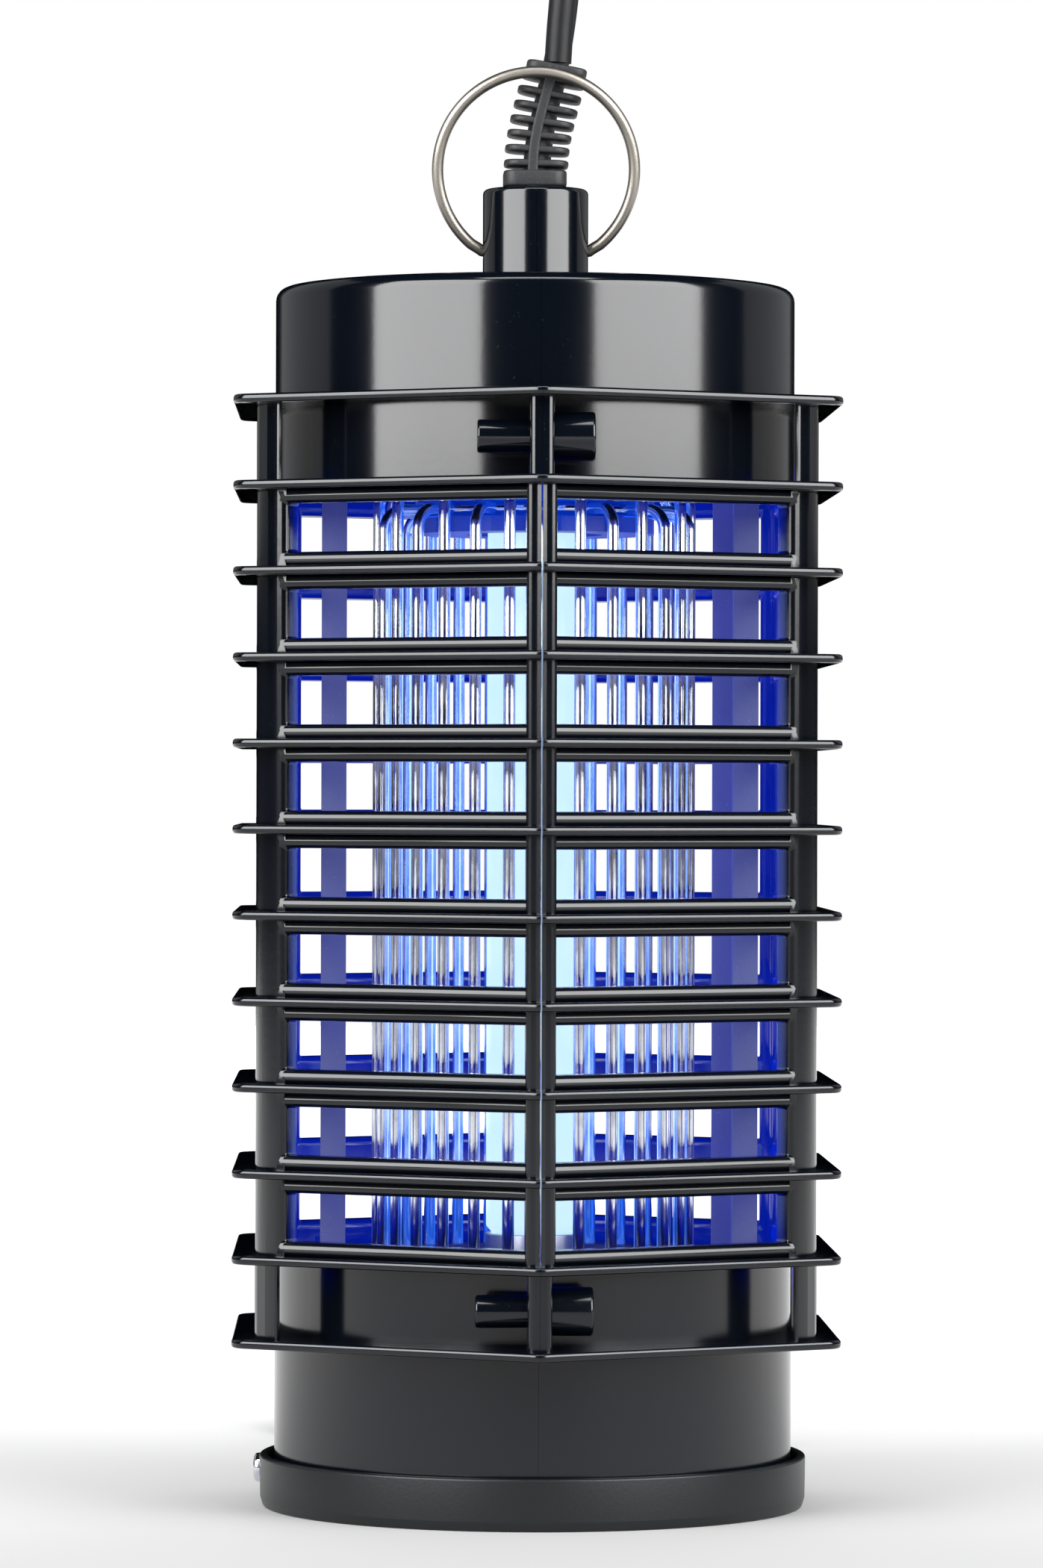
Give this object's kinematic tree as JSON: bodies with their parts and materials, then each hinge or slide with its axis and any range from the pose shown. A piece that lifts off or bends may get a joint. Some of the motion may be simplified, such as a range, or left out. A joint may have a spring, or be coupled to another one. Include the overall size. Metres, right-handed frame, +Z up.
{
  "type": "electric bug zapper",
  "caption": "Hexagonal louvred lantern that lures insects with an ultraviolet tube to a high-voltage rod grid, over a drop-out collecting tray.",
  "frame": {"origin": "centre of the collecting tray's underside, on the lamp's axis", "axes": "+Z up along the lamp; -Y towards the front corner of the hexagonal cage; the two housing shells meet on the plane X = 0"},
  "size_m": [0.1018, 0.2334, 0.2953],
  "materials": {
    "shell_gloss": "high gloss moulded ABS",
    "tray_satin": "satin moulded ABS",
    "inner_plastic": "satin moulded ABS",
    "cord_pvc": "grained soft PVC",
    "ring_nickel": "nickel-plated wire, brushed",
    "grid_chrome": "polished stainless wire",
    "zinc_steel": "zinc-plated",
    "uv_lamp": "lit, phosphor-coated glass",
    "ivory_plastic": "satin thermoset",
    "duct_plastic": "satin",
    "circuit_board": "solder mask",
    "ferrite": "sintered",
    "copper_winding": "enamelled wire",
    "film_red": "dipped epoxy",
    "can_sleeve": "shrink sleeve",
    "lead_white": "PVC insulation",
    "lead_red": "silicone insulation"
  },
  "bodies": {
    "housing": {"left_shell": "shell_gloss", "right_shell": "shell_gloss", "housing_screw_front_top": "zinc_steel", "housing_screw_front_bottom": "zinc_steel", "housing_screw_back_top": "zinc_steel", "housing_screw_back_bottom": "zinc_steel", "strain_relief": "cord_pvc", "supply_cord": "cord_pvc", "plug_lead": "cord_pvc", "cord_coil": "cord_pvc", "cord_tie": "tray_satin", "plug_body": "cord_pvc", "plug_pin_1": "zinc_steel", "plug_pin_2": "zinc_steel", "lower_lampholder": "ivory_plastic", "upper_lampholder": "ivory_plastic", "grid_electrode_a": "grid_chrome", "grid_electrode_b": "grid_chrome", "grid_hub": "inner_plastic", "grid_spacer": "inner_plastic", "grid_clamp": "inner_plastic", "electronics_deck": "inner_plastic", "hub_screw_1": "zinc_steel", "hub_screw_2": "zinc_steel", "hub_screw_3": "zinc_steel", "lower_carrier": "inner_plastic", "left_wire_duct": "duct_plastic", "right_wire_duct": "duct_plastic", "circuit_board": "circuit_board", "board_screw_1": "zinc_steel", "board_screw_2": "zinc_steel", "board_screw_3": "zinc_steel", "transformer_core": "ferrite", "transformer_winding": "copper_winding", "film_capacitor_1": "film_red", "film_capacitor_2": "film_red", "film_capacitor_3": "film_red", "electrolytic_capacitor": "can_sleeve", "ballast_choke": "copper_winding", "switching_transistor": "ferrite", "fuse": "lead_white", "supply_lead_inner": "lead_white", "lower_lamp_lead": "lead_white", "high_voltage_lead_a": "lead_red", "high_voltage_lead_b": "lead_red"},
    "tray": {"collecting_tray": "tray_satin"},
    "lock_screw": {"tray_lock_screw": "grid_chrome"},
    "ring": {"hanging_ring": "ring_nickel"},
    "lamp": {"lamp_tube": "uv_lamp", "lamp_cap_bottom": "zinc_steel", "lamp_cap_top": "zinc_steel", "lower_rotor": "ivory_plastic", "upper_rotor": "ivory_plastic"}
  },
  "joints": [
    {"name": "ring_swing", "type": "hinge", "parent": "housing", "child": "ring", "pos_m": [0, 0, 0.214], "axis": [1, 0, 0], "range_deg": [-1, 87]},
    {"name": "tray_drop", "type": "slide", "parent": "housing", "child": "tray", "axis": [0, 0, -1], "range_m": [0, 0.04]},
    {"name": "tray_screw_out", "type": "slide", "parent": "tray", "child": "lock_screw", "axis": [-0.9945, 0.1045, 0], "range_m": [0, 0.007]},
    {"name": "lamp_twist", "type": "hinge", "parent": "housing", "child": "lamp", "pos_m": [0, 0, 0.108], "axis": [0, 0, 1], "range_deg": [0, 90]}
  ]
}
